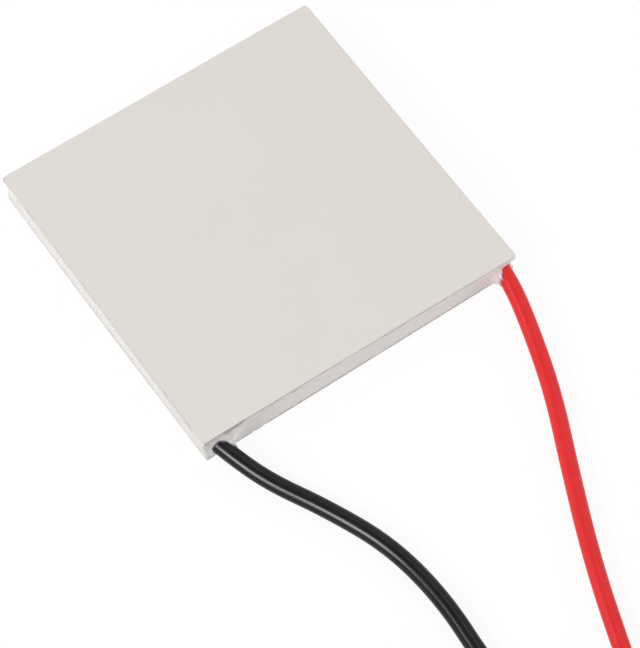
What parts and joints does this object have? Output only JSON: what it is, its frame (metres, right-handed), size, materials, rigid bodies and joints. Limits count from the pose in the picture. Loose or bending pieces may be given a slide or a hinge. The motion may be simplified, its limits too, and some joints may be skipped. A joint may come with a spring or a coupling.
{
  "type": "thermoelectric cooling module",
  "caption": "Square flat heat pump: semiconductor pellets and copper tabs between ceramic plates, with a silicone edge seal and a red and a black lead.",
  "frame": {"origin": "middle of the hot face, the lower ceramic plate's outer face, on which the module lies", "axes": "+Z from the hot face to the cold face, -Y the side that the two leads leave, +X towards the red lead"},
  "size_m": [0.0596, 0.1097, 0.0039],
  "materials": {
    "alumina": "fired, matte, unglazed",
    "silicone": "cured white sealant, satin",
    "p_semiconductor": "sawn bismuth telluride, dull grey metallic",
    "n_semiconductor": "sawn bismuth telluride, dull grey metallic",
    "copper": "rolled copper, tinned where soldered",
    "solder": "frozen tin solder",
    "tinned_strands": "tinned copper strands",
    "black_pvc": "extruded PVC, satin",
    "red_pvc": "extruded PVC, satin"
  },
  "bodies": {
    "root": {"black_lead_coil": "black_pvc", "black_lead_conductor": "tinned_strands", "black_lead_insulation": "black_pvc", "black_lead_pad": "copper", "black_lead_tail": "black_pvc", "black_lead_tip": "tinned_strands", "black_solder_joint": "solder", "cold_link_tabs_left": "copper", "cold_link_tabs_right": "copper", "cold_side_plate": "alumina", "cold_turn_tabs_front": "copper", "cold_turn_tabs_rear": "copper", "edge_seal": "silicone", "hot_link_tabs_left": "copper", "hot_link_tabs_right": "copper", "hot_side_plate": "alumina", "n_pellets_column_01": "n_semiconductor", "n_pellets_column_02": "n_semiconductor", "n_pellets_column_03": "n_semiconductor", "n_pellets_column_04": "n_semiconductor", "n_pellets_column_05": "n_semiconductor", "n_pellets_column_06": "n_semiconductor", "n_pellets_column_07": "n_semiconductor", "n_pellets_column_08": "n_semiconductor", "n_pellets_column_09": "n_semiconductor", "n_pellets_column_10": "n_semiconductor", "n_pellets_column_11": "n_semiconductor", "n_pellets_column_12": "n_semiconductor", "n_pellets_column_13": "n_semiconductor", "n_pellets_column_14": "n_semiconductor", "n_pellets_column_15": "n_semiconductor", "n_pellets_column_16": "n_semiconductor", "p_pellets_column_01": "p_semiconductor", "p_pellets_column_02": "p_semiconductor", "p_pellets_column_03": "p_semiconductor", "p_pellets_column_04": "p_semiconductor", "p_pellets_column_05": "p_semiconductor", "p_pellets_column_06": "p_semiconductor", "p_pellets_column_07": "p_semiconductor", "p_pellets_column_08": "p_semiconductor", "p_pellets_column_09": "p_semiconductor", "p_pellets_column_10": "p_semiconductor", "p_pellets_column_11": "p_semiconductor", "p_pellets_column_12": "p_semiconductor", "p_pellets_column_13": "p_semiconductor", "p_pellets_column_14": "p_semiconductor", "p_pellets_column_15": "p_semiconductor", "p_pellets_column_16": "p_semiconductor", "red_lead_coil": "red_pvc", "red_lead_conductor": "tinned_strands", "red_lead_insulation": "red_pvc", "red_lead_pad": "copper", "red_lead_tail": "red_pvc", "red_lead_tip": "tinned_strands", "red_solder_joint": "solder"}
  },
  "joints": []
}
